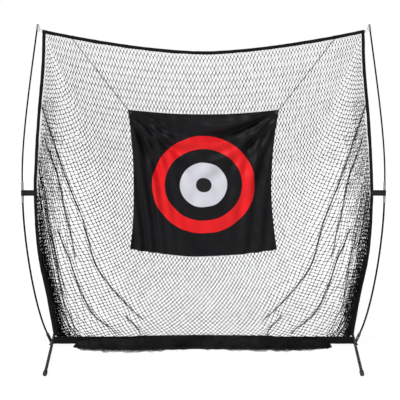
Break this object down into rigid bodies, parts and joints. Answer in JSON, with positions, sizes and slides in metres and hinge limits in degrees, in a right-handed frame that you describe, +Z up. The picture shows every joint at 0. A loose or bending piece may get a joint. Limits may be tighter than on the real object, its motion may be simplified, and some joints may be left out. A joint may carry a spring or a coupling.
{
  "type": "golf hitting net",
  "caption": "Bow-pole golf hitting net: fine black netting and a hanging ring target between two bowed poles, on a floor bar with swivelling tube legs",
  "frame": {"origin": "on the floor, under the middle of the net", "axes": "+Z up, +X across the net to the golfer's right, +Y away from the golfer; the net's border is in the plane Y = 0"},
  "size_m": [2.4042, 1.0692, 2.1302],
  "materials": {
    "black_steel": "satin powder coat",
    "grey_steel": "plain zinc-plated steel",
    "spring_steel": "bright spring strip",
    "black_fibreglass": "smooth black fibreglass rod",
    "black_rubber": "moulded rubber",
    "black_netting": "knotted polyester mesh",
    "black_webbing": "woven polyester tape",
    "target_cloth": "woven polyester with a printed ring and disc",
    "black_cord": "braided cord",
    "pale_elastic": "covered elastic cord"
  },
  "bodies": {
    "frame": {"hub_plate_left": "black_steel", "hub_plate_right": "black_steel", "pole_socket_left": "black_steel", "pole_socket_right": "black_steel", "bar_stub_left": "grey_steel", "bar_stub_right": "grey_steel", "pivot_bolt_left": "grey_steel", "pivot_bolt_right": "grey_steel", "pivot_nut_left": "grey_steel", "pivot_nut_right": "grey_steel", "bottom_bar_left": "black_steel", "bottom_bar_right": "black_steel", "bar_coupler": "grey_steel", "coupler_spring_left": "spring_steel", "coupler_spring_right": "spring_steel", "stub_spring_left": "spring_steel", "stub_spring_right": "spring_steel", "corner_ring_left": "grey_steel", "corner_ring_right": "grey_steel", "top_binding": "black_webbing", "side_binding_left": "black_webbing", "side_binding_right": "black_webbing", "bottom_sleeve": "black_webbing", "netting_front_ply": "black_netting", "netting_rear_ply": "black_netting", "net_gather": "black_netting", "target_tie_left": "black_cord", "target_tie_right": "black_cord"},
    "left_leg": {"leg_left": "black_steel", "foot_cap_left_front": "black_rubber", "foot_cap_left_rear": "black_rubber"},
    "right_leg": {"leg_right": "black_steel", "foot_cap_right_front": "black_rubber", "foot_cap_right_rear": "black_rubber"},
    "left_pole": {"pole_lower_left": "black_fibreglass", "pole_upper_left": "black_fibreglass", "ferrule_left": "grey_steel", "tip_cap_left": "grey_steel", "strap_left": "black_webbing", "corner_loop_left": "pale_elastic"},
    "right_pole": {"pole_lower_right": "black_fibreglass", "pole_upper_right": "black_fibreglass", "ferrule_right": "grey_steel", "tip_cap_right": "grey_steel", "strap_right": "black_webbing", "corner_loop_right": "pale_elastic"},
    "target": {"target_panel": "target_cloth", "target_grommet_left": "grey_steel", "target_grommet_right": "grey_steel", "target_cord_left": "black_cord", "target_cord_right": "black_cord"},
    "left_coupler_button": {"coupler_button_left": "grey_steel"},
    "right_coupler_button": {"coupler_button_right": "grey_steel"},
    "left_stub_button": {"stub_button_left": "grey_steel"},
    "right_stub_button": {"stub_button_right": "grey_steel"}
  },
  "joints": [
    {"name": "target_swing", "type": "hinge", "parent": "frame", "child": "target", "pos_m": [0, -0.005, 2.03477], "axis": [1, 0, 0], "range_deg": [-25, 8]},
    {"name": "left_leg_swivel", "type": "hinge", "parent": "frame", "child": "left_leg", "pos_m": [-1.0216, 0, 0.0125], "axis": [0, 0, 1], "range_deg": [0, 50]},
    {"name": "right_leg_swivel", "type": "hinge", "parent": "frame", "child": "right_leg", "pos_m": [1.0216, 0, 0.0125], "axis": [0, 0, -1], "range_deg": [0, 50]},
    {"name": "left_pole_lift", "type": "slide", "parent": "frame", "child": "left_pole", "axis": [-0.4067, 0, 0.9135], "range_m": [0, 0.06], "deforming": ["corner_loop_left"]},
    {"name": "right_pole_lift", "type": "slide", "parent": "frame", "child": "right_pole", "axis": [0.4067, 0, 0.9135], "range_m": [0, 0.06], "deforming": ["corner_loop_right"]},
    {"name": "left_coupler_button_press", "type": "slide", "parent": "frame", "child": "left_coupler_button", "axis": [0, 0, -1], "range_m": [0, 0.0035], "stiffness_N_per_m": 1500, "deforming": ["coupler_spring_left"]},
    {"name": "right_coupler_button_press", "type": "slide", "parent": "frame", "child": "right_coupler_button", "axis": [0, 0, -1], "range_m": [0, 0.0035], "stiffness_N_per_m": 1500, "deforming": ["coupler_spring_right"]},
    {"name": "left_stub_button_press", "type": "slide", "parent": "frame", "child": "left_stub_button", "axis": [0, 0, -1], "range_m": [0, 0.0035], "stiffness_N_per_m": 1500, "deforming": ["stub_spring_left"]},
    {"name": "right_stub_button_press", "type": "slide", "parent": "frame", "child": "right_stub_button", "axis": [0, 0, -1], "range_m": [0, 0.0035], "stiffness_N_per_m": 1500, "deforming": ["stub_spring_right"]}
  ]
}
